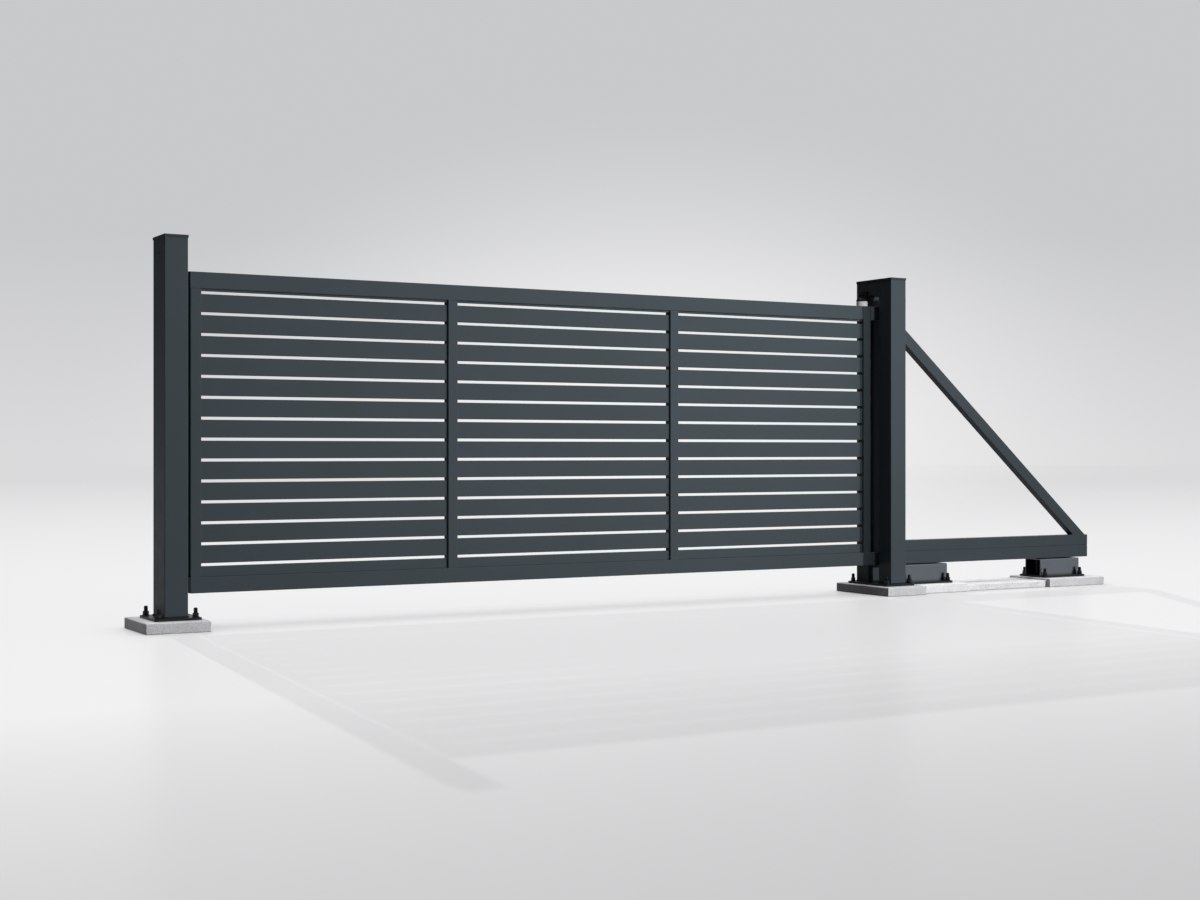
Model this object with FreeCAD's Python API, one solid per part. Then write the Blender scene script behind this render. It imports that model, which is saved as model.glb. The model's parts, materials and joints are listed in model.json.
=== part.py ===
import FreeCAD, Part
import math
import os

# Cantilever sliding driveway gate in its closed position, in millimetres.
# The origin is the centre of the underside of the portal's concrete pad.
# +X runs along the gate towards its counterbalance tail, +Y away from the
# street side and +Z up. The middle plane of the leaf is Y = 0.

# Layout along the driveway
clear_opening = 4085.0          # between the receiving post and the portal
tail_length = 1570.0            # from the portal's far face to the tail's end
closing_gap = 17.0              # between the closing strip and its post
portal_reveal = 41.0            # between the inner stile and the portal
tail_stile_gap = 61.0           # between the inner stile and the tail stile
ground_clearance = 115.0        # between the pads and the track's underside
running_clearance = 3.0         # between the track and a carriage housing
roll_gap = 0.3                  # between a roller and the face it guides
fit_gap = 0.3                   # around a piece that plugs into another
pin_gap = 0.06                  # around a pin in its hole

# Leaf frame
stile_width = 52.0
frame_depth = 50.0
frame_wall = 3.0
frame_chamfer = 2.0
top_rail_height = 78.0
bay_count = 3

# Slats
slat_count = 13
slat_height = 84.0
slat_gap = 14.0
slat_depth = 20.0
slat_wall = 1.5
slat_chamfer = 1.5
slat_setback = 10.0
head_strip_height = 10.0
foot_strip_height = 50.0

# Bottom track, a profile with a slot along its underside
track_height = 74.0
track_depth = 60.0
track_wall = 5.0
end_cap_thickness = 4.0
end_cap_inset = 0.5
closing_strip_thickness = 14.0
closing_strip_width = 30.0
closing_strip_bulge = 4.0

# Counterbalance tail
tail_rail_height = 64.0
brace_height = 65.0
brace_toe = 16.0

# Posts and portal
post_size = 110.0
receiver_post_depth = 188.0
post_wall = 4.0
post_radius = 4.0
post_rise = 148.0               # of the posts above the leaf
leg_clearance = 22.5            # between the leaf frame and a portal leg
bridge_height = 80.0
cap_thickness = 12.0
cap_overhang = 3.5
cap_edge = 2.0
cap_spigot = 20.0
plate_thickness = 12.0
plate_corner = 8.0
receiver_plate_x_margin = 55.0
receiver_plate_y_margin = 36.0
portal_plate_x_margin = 52.0
portal_plate_y_margin = 20.0

# Concrete pads
pad_thickness = 50.0
pad_edge = 4.0
receiver_pad_x_margin = 40.0
receiver_pad_y_margin = 55.0
receiver_pad_shift = 15.0       # of the pad from its post, away from the driveway
portal_pad_x_margin = 33.0
portal_pad_y_margin = 60.0
carriage_pad_y_margin = 61.0
front_pad_margin = 55.0
rear_pad_margin = 19.0
rear_pad_end_margin = 95.0
link_pad_thickness = 38.0
link_pad_inset = 23.0

# Roller carriages
carriage_plate_length = 340.0
carriage_plate_width = 224.0
carriage_plate_gap = 8.0
carriage_tail_margin = 270.0    # from the rear carriage to the tail's end
housing_length = 320.0
housing_width = 131.0
housing_wall = 5.0
housing_radius = 6.0
stem_thickness = 10.0
stem_slot_clearance = 6.0
stem_end_margin = 28.0
stem_head = 14.0
axle_inset = 32.0
axle_radius = 8.0
axle_stub = 2.0
axle_end_clearance = 5.0
wheel_play = 3.7
wheel_stem_gap = 0.5

# Guide rollers at the top of the leaf
roller_radius = 34.0
roller_length = 52.0
roller_engagement = 18.0        # of the leaf's top edge between the rollers
roller_leg_gap = 3.0
roller_end_gap = 1.0
guide_pin_radius = 8.0
guide_head_radius = 14.0        # to the corners of its hexagon
guide_head_height = 6.0
bracket_thickness = 10.0
bracket_inset = 5.0
bracket_width = 60.0
bracket_height = 60.0

# Levels
plate_top = pad_thickness + plate_thickness
track_bottom = pad_thickness + ground_clearance
track_top = track_bottom + track_height
slat_pitch = slat_height + slat_gap
slats_bottom = track_top + foot_strip_height + slat_gap
head_strip_bottom = slats_bottom + slat_count * slat_pitch
top_rail_bottom = head_strip_bottom + head_strip_height
leaf_top = top_rail_bottom + top_rail_height
post_top = leaf_top + post_rise
tail_rail_top = track_top + tail_rail_height

# Stations along the gate
portal_half = post_size / 2
receiver_face = -portal_half - clear_opening
receiver_x = receiver_face - post_size / 2
leaf_start = receiver_face + closing_gap + closing_strip_thickness
inner_stile_end = -portal_half - portal_reveal
tail_stile_start = inner_stile_end + tail_stile_gap
tail_stile_end = tail_stile_start + stile_width
tail_end = portal_half + tail_length
bay_width = (inner_stile_end - leaf_start - (bay_count + 1) * stile_width) / bay_count
leg_offset = frame_depth / 2 + leg_clearance + post_size / 2
leg_face = leg_offset - post_size / 2

# Carriage sizes that follow from the track
track_ceiling = track_top - track_wall
track_half_inside = track_depth / 2 - track_wall
track_slot = stem_thickness + 2 * stem_slot_clearance
wheel_radius = (track_height - 2 * track_wall - roll_gap - wheel_play) / 2
axle_level = track_ceiling - roll_gap - wheel_radius
axle_half_length = track_half_inside - axle_end_clearance
wheel_inner_face = stem_thickness / 2 + wheel_stem_gap
wheel_outer_face = axle_half_length - axle_stub
housing_top = track_bottom - running_clearance
stem_length = housing_length - 2 * stem_end_margin

# Pad and plate sizes
receiver_plate = (post_size + 2 * receiver_plate_x_margin,
                  receiver_post_depth + 2 * receiver_plate_y_margin)
portal_depth = 2 * leg_offset + post_size
portal_plate = (post_size + 2 * portal_plate_x_margin, portal_depth + 2 * portal_plate_y_margin)
receiver_pad = (receiver_plate[0] + 2 * receiver_pad_x_margin, receiver_plate[1] + 2 * receiver_pad_y_margin)
portal_pad = (portal_plate[0] + 2 * portal_pad_x_margin, portal_plate[1] + 2 * portal_pad_y_margin)
carriage_pad_width = carriage_plate_width + 2 * carriage_pad_y_margin
link_pad_width = carriage_pad_width - 2 * link_pad_inset
front_carriage_x = portal_plate[0] / 2 + carriage_plate_gap + carriage_plate_length / 2
rear_carriage_x = tail_end - carriage_tail_margin
front_pad_end = front_carriage_x + carriage_plate_length / 2 + front_pad_margin
rear_pad_start = rear_carriage_x - carriage_plate_length / 2 - rear_pad_margin
rear_pad_end = rear_carriage_x + carriage_plate_length / 2 + rear_pad_end_margin

UP = FreeCAD.Vector(0, 0, 1)
ORIGIN = FreeCAD.Vector(0, 0, 0)


def at(shape, x=0.0, y=0.0, z=0.0):
    """The shape shifted by x, y and z."""
    return shape.translated(FreeCAD.Vector(x, y, z))


def block(x_span, y_span, z_span):
    """A plain block between two values on each axis."""
    corner = FreeCAD.Vector(x_span[0], y_span[0], z_span[0])
    return Part.makeBox(x_span[1] - x_span[0], y_span[1] - y_span[0], z_span[1] - z_span[0], corner)


def about(centre, size):
    """The span of a size about a centre."""
    return (centre - size / 2, centre + size / 2)


def rounded_prism(size_x, size_y, length, radius):
    """An upright bar on the origin, with its four long edges rounded."""
    inset_x = size_x / 2 - radius
    inset_y = size_y / 2 - radius
    edges = []
    last = FreeCAD.Vector(inset_x + radius, -inset_y, 0)
    for quarter, (sign_x, sign_y) in enumerate([(1, 1), (-1, 1), (-1, -1), (1, -1)]):
        centre = FreeCAD.Vector(sign_x * inset_x, sign_y * inset_y, 0)
        start = quarter * math.pi / 2
        arc = Part.Arc(Part.Circle(centre, UP, radius), start, start + math.pi / 2)
        edges.append(Part.makeLine(last, arc.StartPoint))
        edges.append(arc.toShape())
        last = arc.EndPoint
    return Part.Face(Part.Wire(edges)).extrude(FreeCAD.Vector(0, 0, length))


def chamfered_prism(size_x, size_y, length, chamfer):
    """An upright bar on the origin, with its four long edges chamfered."""
    half_x = size_x / 2
    half_y = size_y / 2
    corners = []
    for sign_x, sign_y in [(1, 1), (-1, 1), (-1, -1), (1, -1)]:
        side = FreeCAD.Vector(sign_x * half_x, sign_y * (half_y - chamfer), 0)
        end = FreeCAD.Vector(sign_x * (half_x - chamfer), sign_y * half_y, 0)
        corners += [side, end] if sign_x == sign_y else [end, side]
    return Part.Face(Part.makePolygon(corners + corners[:1])).extrude(FreeCAD.Vector(0, 0, length))


def hollowed(bar, size_x, size_y, wall):
    """An upright bar on the origin made into a tube."""
    bore = block(about(0, size_x - 2 * wall), about(0, size_y - 2 * wall), (0, bar.BoundBox.ZMax))
    return bar.cut(bore)


def level(bar):
    """An upright bar laid along +X, with its X side turned to Z."""
    bar.rotate(ORIGIN, FreeCAD.Vector(0, 1, 0), 90)
    return bar


def frame_tube(size_x, size_y, length):
    """An upright tube of the leaf's frame."""
    return hollowed(chamfered_prism(size_x, size_y, length, frame_chamfer), size_x, size_y, frame_wall)


def post_tube(size_x, size_y, length):
    """An upright tube of the posts, with rounded corners."""
    return hollowed(rounded_prism(size_x, size_y, length, post_radius), size_x, size_y, post_wall)


def ring(radius, pin_radius, length, axis):
    """A roller or wheel along an axis from the origin, bored to turn on a pin."""
    bore = Part.makeCylinder(pin_radius + pin_gap, length, ORIGIN, axis)
    return Part.makeCylinder(radius, length, ORIGIN, axis).cut(bore)


def pad(x_span, width, thickness):
    """A concrete pad on the ground with chamfered top edges."""
    slab = block(x_span, about(0, width), (0, thickness))
    top = max(slab.Faces, key=lambda face: face.CenterOfMass.z)
    return slab.makeChamfer(pad_edge, top.Edges)


def base_plate(x, size):
    """A steel plate on a pad, with clipped corners."""
    return at(chamfered_prism(size[0], size[1], plate_thickness, plate_corner), x, 0, pad_thickness)


def post(x, y, depth):
    """A post from its base plate to its cap."""
    return at(post_tube(post_size, depth, post_top - plate_top), x, y, plate_top)


def post_cap(x, lid_depth, post_depth, spigot_offsets):
    """A thin lid with a spigot in each post below it."""
    lid_width = post_size + 2 * cap_overhang
    lid = rounded_prism(lid_width, lid_depth + 2 * cap_overhang, cap_thickness, post_radius + cap_overhang)
    top = max(lid.Faces, key=lambda face: face.CenterOfMass.z)
    lid = lid.makeChamfer(cap_edge, top.Edges)
    spigot_inset = 2 * post_wall + 2 * fit_gap
    for y in spigot_offsets:
        spigot_y = about(y, post_depth - spigot_inset)
        lid = lid.fuse(block(about(0, post_size - spigot_inset), spigot_y, (-cap_spigot, 0)))
    return at(lid.removeSplitter(), x, 0, post_top)


def portal_bridge():
    """The cross tube that closes the portal over the leaf."""
    tube = level(post_tube(bridge_height, post_size, 2 * leg_face))
    tube.rotate(ORIGIN, UP, 90)
    return at(tube, 0, -leg_face, post_top - bridge_height / 2)


def carriage_housing(x):
    """A bent sheet cover over the carriage plate, open at its ends and slotted for the stem."""
    height = housing_top - plate_top
    bar = level(rounded_prism(2 * height, housing_width, housing_length, housing_radius))
    inside_width = housing_width - 2 * housing_wall
    below = block(about(0, housing_length), about(0, housing_width), (-height, 0))
    inside = block(about(0, housing_length), about(0, inside_width), (0, height - housing_wall))
    slot = block(about(0, stem_length + 2 * fit_gap), about(0, stem_thickness + 2 * fit_gap), (0, height))
    cover = at(bar, -housing_length / 2).cut([below, inside, slot])
    return at(cover, x, 0, plate_top)


def axle_stations(x):
    """Where the axles of a carriage cross the track."""
    reach = stem_length / 2 - axle_inset
    return [x - reach, x + reach]


def carriage_stem(x):
    """The upright plate that carries the axles through the track's slot."""
    stem = block(about(x, stem_length), about(0, stem_thickness), (plate_top, axle_level + stem_head))
    for axle_x in axle_stations(x):
        hole = Part.makeCylinder(axle_radius + pin_gap, 2 * stem_thickness, ORIGIN, FreeCAD.Vector(0, 1, 0))
        stem = stem.cut(at(hole, axle_x, -stem_thickness, axle_level))
    return stem


def carriage_axles(x):
    """The two axles of a carriage."""
    axle = Part.makeCylinder(axle_radius, 2 * axle_half_length, ORIGIN, FreeCAD.Vector(0, 1, 0))
    return Part.makeCompound([at(axle, axle_x, -axle_half_length, axle_level) for axle_x in axle_stations(x)])


def carriage_wheels(x):
    """Two wheels on each axle, one each side of the stem."""
    width = wheel_outer_face - wheel_inner_face
    wheels = []
    for axle_x in axle_stations(x):
        for side in (-1, 1):
            wheel = ring(wheel_radius, axle_radius, width, FreeCAD.Vector(0, side, 0))
            wheels.append(at(wheel, axle_x, side * wheel_inner_face, axle_level))
    return Part.makeCompound(wheels)


def bottom_track():
    """The running track: a tube with a slot along its underside."""
    start = leaf_start + stile_width
    length = tail_end - end_cap_thickness - start
    bar = chamfered_prism(track_height, track_depth, length, frame_chamfer)
    track = level(hollowed(bar, track_height, track_depth, track_wall))
    slot = block((0, length), about(0, track_slot), (-track_height / 2, 0))
    return at(track.cut(slot), start, 0, (track_bottom + track_top) / 2)


def closing_end_block(bottom, top, depth, wall):
    """A block that ends the track or the top rail at the closing stile, hollow towards it."""
    bar = chamfered_prism(top - bottom, depth, stile_width, frame_chamfer)
    inside_z = about(0, top - bottom - 2 * wall)
    inside_y = about(0, depth - 2 * wall)
    inside = block(inside_z, inside_y, (end_cap_thickness, stile_width))
    return at(level(bar.cut(inside)), leaf_start, 0, (bottom + top) / 2)


def end_cap(bottom, top):
    """A plate that closes the tail's end of the track or of the tail rail."""
    height = top - bottom - 2 * end_cap_inset
    plate = chamfered_prism(height, track_depth - 2 * end_cap_inset, end_cap_thickness, frame_chamfer)
    return at(level(plate), tail_end - end_cap_thickness, 0, (bottom + top) / 2)


def upright(x, top):
    """A stile or mullion on the track, from its left edge at x."""
    return at(frame_tube(stile_width, frame_depth, top - track_top), x + stile_width / 2, 0, track_top)


def top_rail():
    """The top rail of the bays, and the short length that goes on to the tail."""
    spans = [
        (leaf_start + stile_width, inner_stile_end - stile_width),
        (inner_stile_end, tail_stile_start),
    ]
    middle = (top_rail_bottom + leaf_top) / 2
    rails = []
    for start, end in spans:
        rail = level(frame_tube(top_rail_height, frame_depth, end - start))
        rails.append(at(rail, start, 0, middle))
    return Part.makeCompound(rails)


def bay_start(bay):
    """The left edge of the slats in a bay."""
    return leaf_start + stile_width + bay * (bay_width + stile_width)


def slat(bay, bottom, height):
    """One horizontal slat of a bay."""
    bar = chamfered_prism(height, slat_depth, bay_width, slat_chamfer)
    y = -frame_depth / 2 + slat_setback + slat_depth / 2
    return at(level(hollowed(bar, height, slat_depth, slat_wall)), bay_start(bay), y, bottom + height / 2)


def slat_bay(bay):
    """The slats of a bay between a foot strip and a head strip."""
    slats = [slat(bay, track_top, foot_strip_height)]
    for row in range(slat_count):
        slats.append(slat(bay, slats_bottom + row * slat_pitch, slat_height))
    slats.append(slat(bay, head_strip_bottom, head_strip_height))
    return Part.makeCompound(slats)


def tail_rail():
    """The tube on top of the track behind the portal."""
    length = tail_end - end_cap_thickness - tail_stile_end
    tube = level(frame_tube(tail_rail_height, track_depth, length))
    return at(tube, tail_stile_end, 0, (track_top + tail_rail_top) / 2)


def tail_brace():
    """The diagonal tube from the top of the leaf to the end of the tail."""
    run = tail_end - brace_toe - tail_stile_end
    drop = leaf_top - tail_rail_top
    length = math.hypot(run, drop)
    tube = level(frame_tube(brace_height, frame_depth, length + 2 * brace_height))
    tube.translate(FreeCAD.Vector(-brace_height, 0, -brace_height / 2))
    tube.rotate(ORIGIN, FreeCAD.Vector(0, 1, 0), math.degrees(math.atan2(drop, run)))
    room = block((0, run), about(0, 2 * frame_depth), (-drop, 0))
    return at(tube.common(room), tail_stile_end, 0, leaf_top)


def closing_strip():
    """The rubber strip on the closing edge, with a rounded nose."""
    half = closing_strip_width / 2
    root = leaf_start
    shoulder = leaf_start - closing_strip_thickness + closing_strip_bulge
    nose = Part.Arc(FreeCAD.Vector(shoulder, half, 0), FreeCAD.Vector(shoulder - closing_strip_bulge, 0, 0),
                    FreeCAD.Vector(shoulder, -half, 0)).toShape()
    sides = Part.makePolygon([FreeCAD.Vector(shoulder, -half, 0), FreeCAD.Vector(root, -half, 0),
                              FreeCAD.Vector(root, half, 0), FreeCAD.Vector(shoulder, half, 0)])
    outline = Part.Wire([nose] + sides.Edges)
    return at(Part.Face(outline).extrude(FreeCAD.Vector(0, 0, leaf_top - track_top)), 0, 0, track_top)


# Guide rollers: the rear one is placed here and the front one is its half turn about Z
roller_x = -portal_half - roller_leg_gap - roller_radius
roller_y = frame_depth / 2 + roll_gap + roller_radius
roller_bottom = leaf_top - roller_engagement
arm_bottom = roller_bottom + roller_length + roller_end_gap
arm_top = arm_bottom + bracket_thickness


def guide_bracket():
    """An angle on the portal leg, with a round-nosed arm above the roller."""
    arm = block((roller_x, -portal_half), about(roller_y, 2 * roller_radius), (arm_bottom, arm_top))
    nose = at(Part.makeCylinder(roller_radius, bracket_thickness), roller_x, roller_y, arm_bottom)
    flange_start = leg_face + bracket_inset
    flange = block((-portal_half - bracket_thickness, -portal_half),
                   (flange_start, flange_start + bracket_width), (arm_bottom, arm_bottom + bracket_height))
    hole = at(Part.makeCylinder(guide_pin_radius + pin_gap, bracket_thickness), roller_x, roller_y, arm_bottom)
    return arm.fuse([nose, flange]).removeSplitter().cut(hole)


def hexagon_head(bottom):
    """A hexagon head or nut on the guide pin."""
    corners = []
    for corner in range(7):
        turn = corner * math.pi / 3
        corners.append(FreeCAD.Vector(math.cos(turn), math.sin(turn), 0) * guide_head_radius)
    head = Part.Face(Part.makePolygon(corners)).extrude(FreeCAD.Vector(0, 0, guide_head_height))
    return at(head, 0, 0, bottom)


def guide_pin():
    """The roller's pin, with a head below the roller and a nut above the arm."""
    head_bottom = roller_bottom - roller_end_gap - guide_head_height
    shaft = Part.makeCylinder(guide_pin_radius, arm_top - head_bottom)
    pin = at(shaft, 0, 0, head_bottom).fuse([hexagon_head(head_bottom), hexagon_head(arm_top)])
    return at(pin.removeSplitter(), roller_x, roller_y)


def guide_roller():
    """A nylon roller that turns on its pin beside the top of the leaf."""
    return at(ring(roller_radius, guide_pin_radius, roller_length, UP), roller_x, roller_y, roller_bottom)


nodes = {
    "receiver_pad": pad(about(receiver_x - receiver_pad_shift, receiver_pad[0]), receiver_pad[1], pad_thickness),
    "receiver_base_plate": base_plate(receiver_x, receiver_plate),
    "receiver_post": post(receiver_x, 0, receiver_post_depth),
    "receiver_cap": post_cap(receiver_x, receiver_post_depth, receiver_post_depth, [0]),
    "portal_pad": pad(about(0, portal_pad[0]), portal_pad[1], pad_thickness),
    "portal_base_plate": base_plate(0, portal_plate),
    "portal_front_leg": post(0, -leg_offset, post_size),
    "portal_rear_leg": post(0, leg_offset, post_size),
    "portal_bridge": portal_bridge(),
    "portal_cap": post_cap(0, portal_depth, post_size, [-leg_offset, leg_offset]),
    "front_carriage_pad": pad((portal_pad[0] / 2, front_pad_end), carriage_pad_width, pad_thickness),
    "link_pad": pad((front_pad_end, rear_pad_start), link_pad_width, link_pad_thickness),
    "rear_carriage_pad": pad((rear_pad_start, rear_pad_end), carriage_pad_width, pad_thickness),
    "bottom_track": bottom_track(),
    "closing_end_cap": Part.makeCompound([
        closing_end_block(track_bottom, track_top, track_depth, track_wall),
        closing_end_block(top_rail_bottom, leaf_top, frame_depth, frame_wall),
    ]),
    "tail_end_caps": Part.makeCompound([
        end_cap(track_bottom, track_top),
        end_cap(track_top, tail_rail_top),
    ]),
    "top_rail": top_rail(),
    "closing_stile": upright(leaf_start, top_rail_bottom),
    "inner_stile": upright(inner_stile_end - stile_width, leaf_top),
    "tail_stile": upright(tail_stile_start, leaf_top),
    "tail_rail": tail_rail(),
    "tail_brace": tail_brace(),
    "closing_strip": closing_strip(),
}

for bay in range(bay_count):
    nodes[f"slats_bay_{bay + 1}"] = slat_bay(bay)
for bay in range(1, bay_count):
    nodes[f"mullion_{bay}"] = upright(bay_start(bay) - stile_width, top_rail_bottom)

for place, x in (("front", front_carriage_x), ("rear", rear_carriage_x)):
    nodes[f"{place}_carriage_plate"] = base_plate(x, (carriage_plate_length, carriage_plate_width))
    nodes[f"{place}_carriage_housing"] = carriage_housing(x)
    nodes[f"{place}_carriage_stem"] = carriage_stem(x)
    nodes[f"{place}_carriage_axles"] = carriage_axles(x)
    nodes[f"{place}_carriage_wheels"] = carriage_wheels(x)

for place, turn in (("rear", 0), ("front", 180)):
    for piece, shape in (("bracket", guide_bracket()), ("pin", guide_pin()), ("roller", guide_roller())):
        shape.rotate(ORIGIN, UP, turn)
        nodes[f"{place}_guide_{piece}"] = shape

os.makedirs("parts", exist_ok=True)
for name, shape in nodes.items():
    shape.exportStep(f"parts/{name}.step")
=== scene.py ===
"""Looks of the sliding driveway gate: finishes of the CAD nodes, anchor bolts and other small fittings.

Everything is in metres in the frame of the CAD model: +X towards the counterbalance tail,
+Y away from the street side, +Z up.
"""
import json
import math

import bmesh
import bpy
from mathutils import Matrix, Vector


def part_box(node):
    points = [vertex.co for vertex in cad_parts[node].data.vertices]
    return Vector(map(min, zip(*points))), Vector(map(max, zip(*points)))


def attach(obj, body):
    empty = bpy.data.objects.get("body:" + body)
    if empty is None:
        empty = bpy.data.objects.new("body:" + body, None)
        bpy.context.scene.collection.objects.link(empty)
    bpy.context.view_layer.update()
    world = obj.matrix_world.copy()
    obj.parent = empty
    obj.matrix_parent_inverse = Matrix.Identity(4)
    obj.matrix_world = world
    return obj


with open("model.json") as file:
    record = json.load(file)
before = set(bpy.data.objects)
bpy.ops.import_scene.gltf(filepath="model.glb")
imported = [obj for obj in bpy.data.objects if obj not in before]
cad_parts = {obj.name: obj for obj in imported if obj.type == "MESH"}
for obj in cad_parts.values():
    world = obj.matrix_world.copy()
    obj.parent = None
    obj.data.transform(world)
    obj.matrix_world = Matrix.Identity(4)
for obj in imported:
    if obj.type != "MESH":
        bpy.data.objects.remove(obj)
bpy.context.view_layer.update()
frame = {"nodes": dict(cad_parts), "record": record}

# Camera, at the photo's viewing angle
CAMERA_PLACE = (-6.538, -8.044, 0.833)
CAMERA_YAW = math.radians(30.0)         # from +Y towards +X
SENSOR_WIDTH = 36.0                     # millimetres
LENS = 52.6                             # millimetres

# Floor
FLOOR_DROP = 0.0010                     # below the pads
FLOOR_MIDDLE = (-1.3, 0.0)              # under the middle of the gate
FLOOR_RADIUS = 90.0
FLOOR_SEGMENTS = 96
FLOOR_BOUNCE = (0.06, 0.06, 0.062)      # floor colour for the light that it throws back
FLOOR_FRONT = (0.56, 0.56, 0.565)       # floor colour near the viewer, darker as painted shade
FLOOR_PALE = (0.92, 0.92, 0.925)
FRONT_EDGE = (-5.8, -2.4)               # along Y, from the painted shade near the viewer to the pale colour
FLOOR_FADE = (4.0, 40.0)                # from lit floor to plain horizon, from the middle of the gate
FADE_VIEW = 10.0                        # usual viewing distance, for a fade that is even in the picture
FLOOR_GLOW = 0.5                        # share of the floor near the gate that is evenly pale
FLOOR_MIRRORED = 0.2                    # share of the pale floor that shows in reflections
FLOOR_ROUGHNESS = 0.3
FLOOR_SPECULAR = 0.2
CONTACT_SHADE = 0.25                    # reach of the shade around what stands on the floor
CONTACT_SAMPLES = 4

# Backdrop; heights are those of a direction of length 1
HORIZON = (0.70, 0.70, 0.71)
SKY = (0.58, 0.585, 0.60)
SKY_HEIGHT = 0.12                       # at which the horizon has turned into sky
GLOW = (0.92, 0.92, 0.925)              # behind the gate
GLOW_YAW = math.radians(31.5)           # of its middle, from +Y towards +X
GLOW_REACH = 0.33                       # from its middle to its edge, in radians
GLOW_NARROWING = 1.6                    # of its height against its width

# Light from the surroundings
FLAG_SIDE = (0.03, 0.03, 0.032)         # from a dark flag on the left
OPEN_SIDE = (0.42, 0.425, 0.435)
OVERHEAD = (0.45, 0.45, 0.46)
FLAG_EDGE = (-0.12, 0.25)               # along X, from the flag to the open side
OVERHEAD_EDGE = (0.6, 0.95)             # in height, from the sides to overhead

# Linear colours of the finishes
WHITEST = 0.92
ANTHRACITE = (0.043, 0.055, 0.061)
CAP_GREY = (0.031, 0.039, 0.043)
PLATE_GREY = (0.013, 0.014, 0.0155)
GALVANISED = (0.27, 0.30, 0.33)
BURNISHED = (0.065, 0.068, 0.072)
ZINC = (0.52, 0.53, 0.54)
NYLON_WHITE = (0.86, 0.86, 0.85)
NYLON_DARK = (0.05, 0.05, 0.05)
RUBBER = (0.012, 0.012, 0.013)
CONCRETE = (0.55, 0.555, 0.57)
# Paler concrete for the front carriage pad and the link pad: painted light, standing for the strong light on
# them; the rear pad's concrete lies between this and the portal pad's
PAINTED_LIGHT_CONCRETE = (0.80, 0.80, 0.805)
REAR_CONCRETE = (0.70, 0.705, 0.72)

# Edges that the shading rounds
EDGE_SAMPLES = 6
EDGE_LIKENESS = (0.985, 0.80)           # of the rounded and the flat normal, from a face to an edge
COAT_EDGE = 0.0015
MOULDED_EDGE = 0.0010
CONCRETE_EDGE = 0.0060

# Powder coat; shades are against its own colour, here and below
COAT_SPECULAR = 0.25
COAT_GLOSS = (-0.04, 0.05)              # change of its roughness
THIN_COAT = 2.4                         # shade of worn edges
PEEL_DEPTH = 0.00004                    # of its orange peel

# Bare steel
SCRATCH_DEPTH = 0.0003                  # on steel that is patchy all over

# Nylon and rubber
MOTTLE_SHADES = (0.90, 1.08)
MOULDED_EDGE_SHADE = 1.2
MOULDED_EDGE_SHARE = 0.4
MOULDED_GLOSS = (-0.05, 0.08)           # change of the roughness
GRAIN_DEPTH = 0.00006
NYLON_DEPTH = 0.012                     # to which light enters it

# Concrete
CLOUD_SHADES = (0.9, 1.1)
DARK_SAND = 0.42
PALE_SAND = 1.5
# The pores are painted darker: painted shade for holes that the surface doesn't have
PIT_SHADE = 0.3
CHIP_SHADE = 1.8
PORE_SCALE = 70.0                       # pores per metre
PORE_SIZE = (0.18, 0.10)                # from a pore's edge to its floor
SAND_DEPTH = 0.0008
CHIP_DEPTH = 0.0020
CONCRETE_ROUGHNESS = 0.9

# Anchor bolts
STUD_RADIUS = 0.0096
STUD_HEIGHT = 0.044                     # above the plate
STUD_TIP = 0.003                        # chamfer at the stud's end
STUD_SIDES = 24
THREAD_PITCH = 0.0025
THREAD_DEPTH = 0.0011
NUT_RADIUS = 0.0145                     # to the corners
NUT_HEIGHT = 0.017
WASHER_RADIUS = 0.0170
WASHER_HEIGHT = 0.003
WASHER_EDGE = 0.0005
WASHER_SIDES = 32
BOLT_EDGE = 0.024                       # from the plate's edge to the bolt's axis
BOLT_TURN = 0.2                         # of the first nut, in radians
BOLT_TURN_STEP = 0.7                    # from nut to nut
SEAT_GAP = 0.0002                       # under fittings, so that faces don't coincide

# Hexagon heads and nuts
HEXAGON_CORNER = 0.12                   # share of the height that is chamfered at each end
HEXAGON_FACE = 0.86                     # share of the radius that the chamfer leaves

# Hexagon screws that hold the guide brackets to the portal legs
SCREW_RADIUS = 0.0080
SCREW_HEIGHT = 0.0055
SCREW_TURN = 0.3
SCREW_SPREAD = 0.0150                   # of the two screws about the flange's middle
SCREW_LEVEL = 0.038                     # above the bracket's underside
SCREW_WASHER_RADIUS = 0.0120
SCREW_WASHER_HEIGHT = 0.0015
SCREW_SIDES = 24                        # of round heads and washers

# Dome screws in the sides of the receiving post, that hold its cap
CAP_SCREW_RADIUS = 0.0060
CAP_SCREW_HEIGHT = 0.0034
CAP_SCREW_DROP = 0.070                  # below the top of the post
DOME_TURN = math.radians(66)            # from the foot of the dome to its socket
DOME_STEPS = 6
SOCKET_RADII = (0.00234, 0.00221)       # at its rim and at its floor
SOCKET_FLOOR = 0.00136                  # above the foot of the dome

# Sizes of the CAD pieces that fittings sit on
BRACKET_THICKNESS = 0.010
POST_RADIUS = 0.004

# Weld bead around the foot of a post
WELD_SIZE = 0.0060
WELD_TURNS = (0.0, 0.3, 0.6, 0.95, 1.25, math.pi / 2)  # of the points on its round face
WELD_RIPPLE = 0.0007                    # depth of its ripples
WELD_RIPPLE_STEP = 0.0060               # from ripple to ripple
WELD_RIPPLE_POINTS = 4                  # along a ripple
CORNER_POINTS = 4                       # around a corner of the post


def feed(tree, node, inputs):
    """Inputs of a node set to values, or linked to sockets."""
    for name, value in inputs.items():
        if isinstance(value, bpy.types.NodeSocket):
            tree.links.new(value, node.inputs[name])
        else:
            node.inputs[name].default_value = value


def add(tree, kind, inputs=None, **settings):
    """A new node with its settings and its inputs."""
    node = tree.nodes.new(kind)
    for name, value in settings.items():
        setattr(node, name, value)
    feed(tree, node, inputs or {})
    return node


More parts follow.
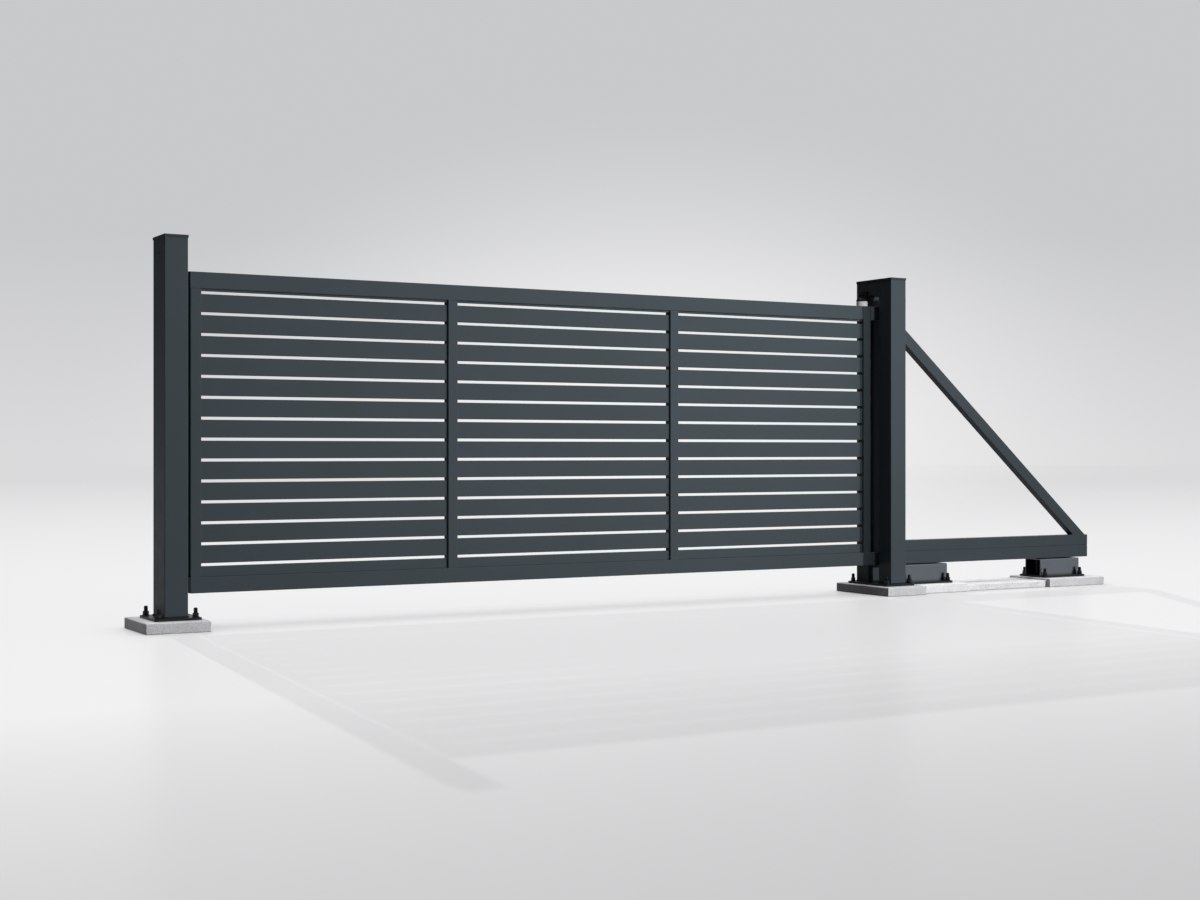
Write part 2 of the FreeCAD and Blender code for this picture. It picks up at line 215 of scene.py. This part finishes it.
def new_material(name):
    """A material with its tree, its shader and the position on the piece."""
    material = bpy.data.materials.new(name)
    material.use_nodes = True
    tree = material.node_tree
    place = add(tree, "ShaderNodeTexCoord").outputs["Object"]
    return material, tree, tree.nodes["Principled BSDF"], place


def noise(tree, place, scale, detail=2.0, roughness=0.5):
    """A noise value between 0 and 1; scale is in waves per metre."""
    inputs = {"Vector": place, "Scale": scale, "Detail": detail, "Roughness": roughness}
    return add(tree, "ShaderNodeTexNoise", inputs).outputs["Fac"]


def ramp(tree, value, low, high, to_low=0.0, to_high=1.0, **settings):
    """A value taken from one range to another, without going beyond it."""
    inputs = {"Value": value, "From Min": low, "From Max": high, "To Min": to_low, "To Max": to_high}
    return add(tree, "ShaderNodeMapRange", inputs, **settings).outputs["Result"]


def combine(tree, operation, first, second):
    """Two values put together by an operation."""
    return add(tree, "ShaderNodeMath", {0: first, 1: second}, operation=operation).outputs["Value"]


def multiply(tree, first, second):
    """The product of two values."""
    return combine(tree, "MULTIPLY", first, second)


def vector(tree, operation, *vectors):
    """The vector, or the value, that an operation makes of vectors."""
    node = add(tree, "ShaderNodeVectorMath", dict(enumerate(vectors)), operation=operation)
    return node.outputs["Value" if operation in ("LENGTH", "DOT_PRODUCT") else "Vector"]


def blend(tree, share, first, second):
    """A colour between two colours, which are sockets or values."""
    ends = [end if isinstance(end, bpy.types.NodeSocket) else (*end, 1.0) for end in (first, second)]
    node = add(tree, "ShaderNodeMix", {"Factor": share, 6: ends[0], 7: ends[1]}, data_type="RGBA")
    return node.outputs[2]


def bump(tree, height, distance, strength, normal=None, invert=False):
    """The normal of a surface with small heights on it, which may have a normal of its own."""
    inputs = {"Height": height, "Distance": distance, "Strength": strength}
    if normal is not None:
        inputs["Normal"] = normal
    return add(tree, "ShaderNodeBump", inputs, invert=invert).outputs["Normal"]


def seen_rays(tree, mirrored_share):
    """1 for rays from the camera, and a share of that for rays that show as reflections."""
    rays = add(tree, "ShaderNodeLightPath").outputs
    mirrored = combine(tree, "ADD", rays["Is Glossy Ray"], rays["Is Transmission Ray"])
    return combine(tree, "ADD", rays["Is Camera Ray"], multiply(tree, mirrored, mirrored_share))


def backdrop(tree, direction, plain):
    """A plain backdrop with a soft glow behind the gate, seen in a direction of length 1."""
    middle = (math.sin(GLOW_YAW), math.cos(GLOW_YAW), 0.0)
    apart = vector(tree, "SUBTRACT", direction, middle)
    angle = vector(tree, "LENGTH", vector(tree, "MULTIPLY", apart, (1.0, 1.0, GLOW_NARROWING)))
    share = ramp(tree, angle, GLOW_REACH, 0.0, interpolation_type="SMOOTHSTEP")
    return blend(tree, share, plain, GLOW)


def shade(colour, factor):
    """A colour made lighter or darker, but never lighter than white paint."""
    return tuple(min(channel * factor, WHITEST) for channel in colour)


def soft_edges(tree, radius):
    """The normal of slightly rounded edges, and a value that is 1 along those edges."""
    rounded = add(tree, "ShaderNodeBevel", {"Radius": radius}, samples=EDGE_SAMPLES).outputs["Normal"]
    flat = add(tree, "ShaderNodeNewGeometry").outputs["True Normal"]
    return rounded, ramp(tree, vector(tree, "DOT_PRODUCT", rounded, flat), *EDGE_LIKENESS)


def coated_metal(name, colour, roughness, worn, peel_scale=650.0, clouding=0.07):
    """Powder coat with fine orange peel, faint bluish clouding and edges where the coat is thin."""
    material, tree, shader, place = new_material(name)
    normal, edge = soft_edges(tree, COAT_EDGE)
    cloud = ramp(tree, noise(tree, place, scale=2.3, detail=5.0, roughness=0.6), low=0.35, high=0.65)
    scuffs = ramp(tree, noise(tree, place, scale=60.0, detail=4.0, roughness=0.7), low=0.45, high=0.7)
    red, green, blue = colour
    bluish = (red * (1 + clouding / 3), green * (1 + clouding / 4), blue * (1 + clouding))
    body = blend(tree, cloud, shade(colour, 1 - clouding / 2), bluish)
    wear = multiply(tree, multiply(tree, edge, scuffs), worn)
    peel = noise(tree, place, peel_scale, detail=3.0)
    gloss = ramp(tree, noise(tree, place, scale=14.0, detail=4.0), low=0.3, high=0.7,
                 to_low=roughness + COAT_GLOSS[0], to_high=roughness + COAT_GLOSS[1])
    feed(tree, shader, {
        "Base Color": blend(tree, wear, body, shade(colour, THIN_COAT)),
        "Roughness": gloss,
        "Specular IOR Level": COAT_SPECULAR,
        "Normal": bump(tree, peel, PEEL_DEPTH, strength=1.0, normal=normal),
    })
    return material


def bare_metal(name, colour, roughness, scale, patchy=0.27):
    """Burnished, plated or galvanised steel with cloudy patches and fine scratches."""
    material, tree, shader, place = new_material(name)
    patches = noise(tree, place, scale, detail=5.0, roughness=0.65)
    gloss = ramp(tree, noise(tree, place, scale * 4, detail=3.0), low=0.3, high=0.7,
                 to_low=roughness - patchy / 3, to_high=roughness + patchy / 3)
    scratch = noise(tree, place, scale * 12)
    feed(tree, shader, {
        "Base Color": blend(tree, patches, shade(colour, 1 - patchy), shade(colour, 1 + patchy)),
        "Roughness": gloss,
        "Metallic": 1.0,
        "Normal": bump(tree, scratch, patchy * SCRATCH_DEPTH, strength=patchy),
    })
    return material


def moulded(name, colour, roughness, scale, translucency=0.0):
    """Nylon or rubber with a fine moulded grain and softened edges."""
    material, tree, shader, place = new_material(name)
    normal, edge = soft_edges(tree, MOULDED_EDGE)
    mottle = noise(tree, place, scale, detail=4.0, roughness=0.6)
    body = blend(tree, mottle, *(shade(colour, factor) for factor in MOTTLE_SHADES))
    rim = multiply(tree, edge, MOULDED_EDGE_SHARE)
    grain = noise(tree, place, scale * 25)
    gloss = ramp(tree, grain, low=0.3, high=0.7,
                 to_low=roughness + MOULDED_GLOSS[0], to_high=roughness + MOULDED_GLOSS[1])
    feed(tree, shader, {
        "Base Color": blend(tree, rim, body, shade(colour, MOULDED_EDGE_SHADE)),
        "Roughness": gloss,
        "Normal": bump(tree, grain, GRAIN_DEPTH, strength=0.7, normal=normal),
        "Subsurface Weight": translucency,
        "Subsurface Scale": NYLON_DEPTH,
        "Subsurface Radius": (1.0, 1.0, 1.0),
    })
    return material


def cast_concrete(name, colour):
    """Light cast concrete: sand speckle, small pores painted darker as shade, damp clouds and chipped
    arrises.
    """
    material, tree, shader, place = new_material(name)
    normal, edge = soft_edges(tree, CONCRETE_EDGE)
    cloud = noise(tree, place, scale=9.0, detail=6.0, roughness=0.65)
    sand = noise(tree, place, scale=190.0, detail=3.0, roughness=0.75)
    grit = noise(tree, place, scale=75.0, detail=4.0, roughness=0.7)
    breaks = noise(tree, place, scale=38.0, detail=5.0, roughness=0.75)
    pores = add(tree, "ShaderNodeTexVoronoi", {"Vector": place, "Scale": PORE_SCALE}).outputs["Distance"]
    pits = multiply(tree, ramp(tree, pores, *PORE_SIZE), ramp(tree, grit, low=0.5, high=0.62))
    chips = multiply(tree, edge, ramp(tree, breaks, low=0.50, high=0.58))
    clouding = ramp(tree, cloud, low=0.3, high=0.7)
    body = blend(tree, clouding, *(shade(colour, factor) for factor in CLOUD_SHADES))
    body = blend(tree, ramp(tree, sand, low=0.53, high=0.68, to_high=0.75), body, shade(colour, DARK_SAND))
    body = blend(tree, ramp(tree, sand, low=0.46, high=0.32, to_high=0.65), body, shade(colour, PALE_SAND))
    # painted shade in the pores
    body = blend(tree, pits, body, shade(colour, PIT_SHADE))
    fine = bump(tree, sand, SAND_DEPTH, strength=0.6, normal=normal)
    feed(tree, shader, {
        "Base Color": blend(tree, chips, body, shade(colour, CHIP_SHADE)),
        "Roughness": CONCRETE_ROUGHNESS,
        "Normal": bump(tree, chips, CHIP_DEPTH, strength=0.8, normal=fine, invert=True),
    })
    return material


finishes = {
    "anthracite": coated_metal("anthracite_coat", ANTHRACITE, roughness=0.38, worn=0.5),
    "slat": coated_metal("slat_coat", ANTHRACITE, roughness=0.38, worn=0.35),
    "cap": coated_metal("cap_coat", CAP_GREY, roughness=0.38, worn=0.5),
    "plate": coated_metal("plate_coat", PLATE_GREY, roughness=0.36, worn=0.9,
                          peel_scale=300.0, clouding=0.15),
    "carriage": bare_metal("galvanised_sheet", GALVANISED, roughness=0.24, scale=9.0, patchy=0.08),
    "steel": bare_metal("zinc_plate", ZINC, roughness=0.34, scale=40.0),
    "nylon": moulded("white_nylon", NYLON_WHITE, roughness=0.45, scale=30.0, translucency=0.5),
    "nylon_dark": moulded("dark_nylon", NYLON_DARK, roughness=0.5, scale=30.0),
    "rubber": moulded("black_rubber", RUBBER, roughness=0.7, scale=20.0),
    "concrete": cast_concrete("cast_concrete", CONCRETE),
}
burnished = bare_metal("burnished_steel", BURNISHED, roughness=0.33, scale=60.0)
# The front carriage pad and the link pad are painted paler, as painted light; the rear pad gets a concrete
# lighter than the portal pad's
painted_light_concrete = cast_concrete("painted_light_concrete", PAINTED_LIGHT_CONCRETE)
own_finishes = {
    "front_carriage_pad": painted_light_concrete,
    "link_pad": painted_light_concrete,
    "rear_carriage_pad": cast_concrete("rear_concrete", REAR_CONCRETE),
    "closing_end_cap": finishes["anthracite"],
}

for subpart in frame["record"]["subparts"]:
    node = subpart["node"]
    mesh = frame["nodes"][node].data
    mesh.materials.clear()
    mesh.materials.append(own_finishes.get(node) or finishes[subpart["material_slot"]])


def lathe(mesh, profile, seat, sides, turn=0.0):
    """A closed turned body in a mesh, from (radius, height) points along the Z axis of its seat."""
    rings = []
    for radius, height in profile:
        ring = []
        for side in range(sides):
            angle = turn + side * math.tau / sides
            point = Vector((radius * math.cos(angle), radius * math.sin(angle), height))
            ring.append(mesh.verts.new(seat @ point))
        rings.append(ring)
    for lower, upper in zip(rings, rings[1:]):
        for side in range(sides):
            after = (side + 1) % sides
            mesh.faces.new((lower[side], lower[after], upper[after], upper[side]))
    mesh.faces.new(list(reversed(rings[0])))
    mesh.faces.new(rings[-1])


def seat_at(x, y, z):
    """A seat on an upward face."""
    return Matrix.Translation((x, y, z))


def side_seat(x, y, z, sign):
    """A seat on a face that looks along +X or -X."""
    return seat_at(x, y, z) @ Matrix.Rotation(sign * math.pi / 2, 4, "Y")


def finish_piece(name, mesh, material):
    """An object made from a mesh, given its finish and set on the fixed posts and pads."""
    bmesh.ops.recalc_face_normals(mesh, faces=mesh.faces)
    data = bpy.data.meshes.new(name)
    mesh.to_mesh(data)
    mesh.free()
    data.materials.append(material)
    piece = bpy.data.objects.new(name, data)
    bpy.context.scene.collection.objects.link(piece)
    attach(piece, "posts_and_pads")


def hexagon(mesh, seat, radius, height, turn):
    """A hexagon head or nut with chamfered corners."""
    corner = HEXAGON_CORNER * height
    face = HEXAGON_FACE * radius
    profile = [(face, 0), (radius, corner), (radius, height - corner), (face, height)]
    lathe(mesh, profile, seat, 6, turn)


def washer(mesh, seat, radius, height, sides):
    """A flat washer with eased edges."""
    eased = radius - WASHER_EDGE
    profile = [(eased, 0), (radius, WASHER_EDGE), (radius, height - WASHER_EDGE), (eased, height)]
    lathe(mesh, profile, seat, sides)


def anchor_bolt(mesh, x, y, z, turn):
    """A threaded stud with its nut and washer, on a plate at z."""
    bottom = z + SEAT_GAP
    washer(mesh, seat_at(x, y, bottom), WASHER_RADIUS, WASHER_HEIGHT, WASHER_SIDES)
    nut_bottom = bottom + WASHER_HEIGHT + SEAT_GAP
    hexagon(mesh, seat_at(x, y, nut_bottom), NUT_RADIUS, NUT_HEIGHT, turn)
    stud_bottom = nut_bottom + NUT_HEIGHT + SEAT_GAP
    stud_length = bottom + STUD_HEIGHT - stud_bottom
    turns = int((stud_length - STUD_TIP) / THREAD_PITCH)
    profile = []
    for pitch in range(turns):
        height = pitch * THREAD_PITCH
        profile += [(STUD_RADIUS - THREAD_DEPTH, height), (STUD_RADIUS, height + THREAD_PITCH / 2)]
    profile += [(STUD_RADIUS - THREAD_DEPTH, turns * THREAD_PITCH), (STUD_RADIUS - STUD_TIP, stud_length)]
    lathe(mesh, profile, seat_at(x, y, stud_bottom), STUD_SIDES)


def anchor_bolts(name, plate):
    """A bolt near each corner of a base plate."""
    low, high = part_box(plate)
    mesh = bmesh.new()
    turn = BOLT_TURN
    for x in (low[0] + BOLT_EDGE, high[0] - BOLT_EDGE):
        for y in (low[1] + BOLT_EDGE, high[1] - BOLT_EDGE):
            anchor_bolt(mesh, x, y, high[2], turn)
            turn += BOLT_TURN_STEP
    finish_piece(name, mesh, burnished)


def bracket_screws(name, bracket, leg, side):
    """Two hexagon screws with washers in a guide bracket's flange, on its outer side along X."""
    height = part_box(bracket)[0][2] + SCREW_LEVEL
    leg_low, leg_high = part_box(leg)
    face = (leg_low[0] if side < 0 else leg_high[0]) + side * BRACKET_THICKNESS
    washer_face = face + side * SEAT_GAP
    screw_face = face + side * (2 * SEAT_GAP + SCREW_WASHER_HEIGHT)
    middle = (leg_low[1] + leg_high[1]) / 2
    mesh = bmesh.new()
    for y in (middle - SCREW_SPREAD, middle + SCREW_SPREAD):
        seat = side_seat(washer_face, y, height, side)
        washer(mesh, seat, SCREW_WASHER_RADIUS, SCREW_WASHER_HEIGHT, SCREW_SIDES)
        hexagon(mesh, side_seat(screw_face, y, height, side), SCREW_RADIUS, SCREW_HEIGHT, SCREW_TURN)
    finish_piece(name, mesh, burnished)


def cap_screws(name, post):
    """A dome screw with a socket in each side of a post, below its cap."""
    low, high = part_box(post)
    mesh = bmesh.new()
    dome = []
    for step in range(DOME_STEPS):
        angle = step / (DOME_STEPS - 1) * DOME_TURN
        dome.append((CAP_SCREW_RADIUS * math.cos(angle), CAP_SCREW_HEIGHT * math.sin(angle)))
    rim, floor_radius = SOCKET_RADII
    dome += [(rim, dome[-1][1]), (floor_radius, SOCKET_FLOOR)]
    for side, x in ((-1, low[0]), (1, high[0])):
        seat = side_seat(x + side * SEAT_GAP, (low[1] + high[1]) / 2, high[2] - CAP_SCREW_DROP, side)
        lathe(mesh, dome, seat, SCREW_SIDES)
    finish_piece(name, mesh, burnished)


def outline(low, high, radius, step):
    """Points and outward directions around a rounded rectangle, about a step apart."""
    middle = ((low[0] + high[0]) / 2, (low[1] + high[1]) / 2)
    corners = ((high[0], high[1]), (low[0], high[1]), (low[0], low[1]), (high[0], low[1]))
    points = []
    for quarter, (x, y) in enumerate(corners):
        outward = Vector((math.copysign(1, x - middle[0]), math.copysign(1, y - middle[1]), 0))
        centre = Vector((x, y, 0)) - radius * outward
        for part in range(CORNER_POINTS):
            angle = (quarter + part / (CORNER_POINTS - 1)) * math.pi / 2
            away = Vector((math.cos(angle), math.sin(angle), 0))
            points.append((centre + radius * away, away))
    spread = []
    for (start, start_away), (end, end_away) in zip(points, points[1:] + points[:1]):
        count = max(1, round((end - start).length / step))
        for part in range(count):
            share = part / count
            spread.append((start.lerp(end, share), start_away.lerp(end_away, share).normalized()))
    return spread


def weld_bead(name, post, plate):
    """A rippled fillet weld around the foot of a post on its plate."""
    low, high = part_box(post)
    plate_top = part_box(plate)[1][2] + SEAT_GAP
    mesh = bmesh.new()
    rings = []
    run = 0.0
    last = None
    for point, away in outline(low, high, POST_RADIUS, WELD_RIPPLE_STEP / WELD_RIPPLE_POINTS):
        run += (point - last).length if last else 0.0
        last = point
        size = WELD_SIZE + WELD_RIPPLE * math.sin(run / WELD_RIPPLE_STEP * math.tau)
        section = [(SEAT_GAP, 0.0)]
        section += [(SEAT_GAP + size * math.cos(turn), size * math.sin(turn)) for turn in WELD_TURNS]
        ring = []
        for out, up in section:
            ring.append(mesh.verts.new(point + out * away + Vector((0, 0, plate_top + up))))
        rings.append(ring)
    for first, second in zip(rings, rings[1:] + rings[:1]):
        for side in range(len(first)):
            after = (side + 1) % len(first)
            mesh.faces.new((first[side], second[side], second[after], first[after]))
    for face in mesh.faces:
        face.smooth = True
    finish_piece(name, mesh, finishes["plate"])


for plate in ("receiver_base_plate", "portal_base_plate", "front_carriage_plate", "rear_carriage_plate"):
    anchor_bolts(plate.replace("plate", "bolts"), plate)
for post in ("receiver_post", "portal_front_leg", "portal_rear_leg"):
    weld_bead(f"{post}_weld", post, "receiver_base_plate" if post == "receiver_post" else "portal_base_plate")
for place, side in (("front", 1), ("rear", -1)):
    bracket_screws(f"{place}_guide_screws", f"{place}_guide_bracket", f"portal_{place}_leg", side)
cap_screws("receiver_cap_screws", "receiver_post")

# Backdrop, and light from the surroundings
world = bpy.data.worlds.new("studio")
bpy.context.scene.world = world
world.use_nodes = True
sky = world.node_tree
sky.nodes.clear()
direction = add(sky, "ShaderNodeTexCoord").outputs["Generated"]
parts = add(sky, "ShaderNodeSeparateXYZ", {"Vector": direction}).outputs
rightward = parts["X"]
upward = parts["Z"]
shown = backdrop(sky, direction, blend(sky, ramp(sky, upward, 0.0, SKY_HEIGHT), HORIZON, SKY))
open_side = ramp(sky, rightward, *FLAG_EDGE)
sides = blend(sky, open_side, FLAG_SIDE, OPEN_SIDE)
lighting = blend(sky, ramp(sky, upward, *OVERHEAD_EDGE), sides, OVERHEAD)
colour = blend(sky, seen_rays(sky, open_side), lighting, shown)
background = add(sky, "ShaderNodeBackground", {"Color": colour, "Strength": 1.0})
add(sky, "ShaderNodeOutputWorld", {"Surface": background.outputs["Background"]})

# Floor: lit near the gate, and evenly pale towards the horizon
floor_mesh = bmesh.new()
bmesh.ops.create_circle(floor_mesh, cap_ends=True, segments=FLOOR_SEGMENTS, radius=FLOOR_RADIUS)
floor_data = bpy.data.meshes.new("floor")
floor_mesh.to_mesh(floor_data)
floor_mesh.free()
floor = bpy.data.objects.new("floor", floor_data)
floor.location = (*FLOOR_MIDDLE, -FLOOR_DROP)
bpy.context.scene.collection.objects.link(floor)

floor_material, tree, shader, place = new_material("studio_floor")
across = add(tree, "ShaderNodeSeparateXYZ", {"Vector": place}).outputs["Y"]
# The floor is painted darker towards the viewer: painted shade
pale = blend(tree, ramp(tree, across, *FRONT_EDGE), FLOOR_FRONT, FLOOR_PALE)
seen = seen_rays(tree, FLOOR_MIRRORED)
feed(tree, shader, {
    "Base Color": blend(tree, seen, FLOOR_BOUNCE, pale),
    "Roughness": FLOOR_ROUGHNESS,
    "Specular IOR Level": FLOOR_SPECULAR,
})
distance = vector(tree, "LENGTH", place)
nearness = combine(tree, "DIVIDE", 1.0, combine(tree, "ADD", distance, FADE_VIEW))
fade = [1 / (reach + FADE_VIEW) for reach in FLOOR_FADE]
far = backdrop(tree, vector(tree, "NORMALIZE", place), HORIZON)
even = blend(tree, ramp(tree, nearness, *fade), pale, far)
shade_inputs = {"Color": even, "Distance": CONTACT_SHADE}
shaded = add(tree, "ShaderNodeAmbientOcclusion", shade_inputs, samples=CONTACT_SAMPLES)
glow = add(tree, "ShaderNodeEmission", {"Color": shaded.outputs["Color"], "Strength": 1.0})
share = multiply(tree, seen, ramp(tree, nearness, *fade, FLOOR_GLOW, 1.0))
mix = add(tree, "ShaderNodeMixShader", {0: share, 1: shader.outputs["BSDF"], 2: glow.outputs["Emission"]})
feed(tree, tree.nodes["Material Output"], {"Surface": mix.outputs["Shader"]})
floor_data.materials.append(floor_material)


def all_but(name, objects):
    """What a lamp lights: everything but these objects."""
    receivers = bpy.data.collections.new(name)
    for thing in objects:
        receivers.objects.link(thing)
    for entry in receivers.collection_objects:
        entry.light_linking.link_state = "EXCLUDE"
    return receivers


def lamp(name, kind, strength, turn, **settings):
    """A lamp that doesn't show itself; turn is its tilt from straight down and its azimuth, in degrees."""
    data = bpy.data.lights.new(name, kind)
    data.energy = strength
    for key, value in settings.items():
        setattr(data, key, value)
    light = bpy.data.objects.new(name, data)
    light.rotation_euler = (0.0, math.radians(turn[0]), math.radians(turn[1]))
    light.visible_camera = False
    light.visible_glossy = False
    bpy.context.scene.collection.objects.link(light)
    return light


def spot(name, strength, place, turn, beam, radius, receivers):
    """A spot that lights only its receivers, with a soft-edged beam; beam is its angle in degrees."""
    light = lamp(name, "SPOT", strength, turn,
                 shadow_soft_size=radius, spot_size=math.radians(beam), spot_blend=1.0)
    light.location = place
    light.light_linking.receiver_collection = receivers


# The spots leave out the floor, so that no bright pools show there, and the strong ones the white roller too
off_floor = all_but("off_floor", [floor])
off_white = all_but("off_white", [floor, frame["nodes"]["front_guide_roller"]])
spot("front_key", 3000.0, place=(5.4, -6.9, 2.1), turn=(80.5, -39.9),
     beam=68.0, radius=0.12, receivers=off_white)
spot("front_fill", 1700.0, place=(0.8, -7.0, 3.4), turn=(82.6, -65.4),
     beam=62.0, radius=0.3, receivers=off_floor)
spot("open_fill", 2600.0, place=(6.4, -7.4, 2.2), turn=(79.0, -75.0),
     beam=30.0, radius=0.3, receivers=off_white)
spot("left_fill", 25.0, place=(-5.85, 0.0, 0.9), turn=(90.0, 180.0),
     beam=100.0, radius=0.3, receivers=off_floor)
lamp("back_light", "SUN", 1.7, turn=(66.0, 84.0), angle=math.radians(0.5))
lamp("overhead", "SUN", 1.6, turn=(0.0, 0.0), angle=math.radians(30.0))

camera_data = bpy.data.cameras.new("camera")
camera_data.sensor_width = SENSOR_WIDTH
camera_data.lens = LENS
camera = bpy.data.objects.new("camera", camera_data)
camera.location = CAMERA_PLACE
camera.rotation_euler = (math.pi / 2, 0.0, -CAMERA_YAW)
bpy.context.scene.collection.objects.link(camera)
bpy.context.scene.camera = camera
bpy.context.scene.view_settings.view_transform = "Standard"
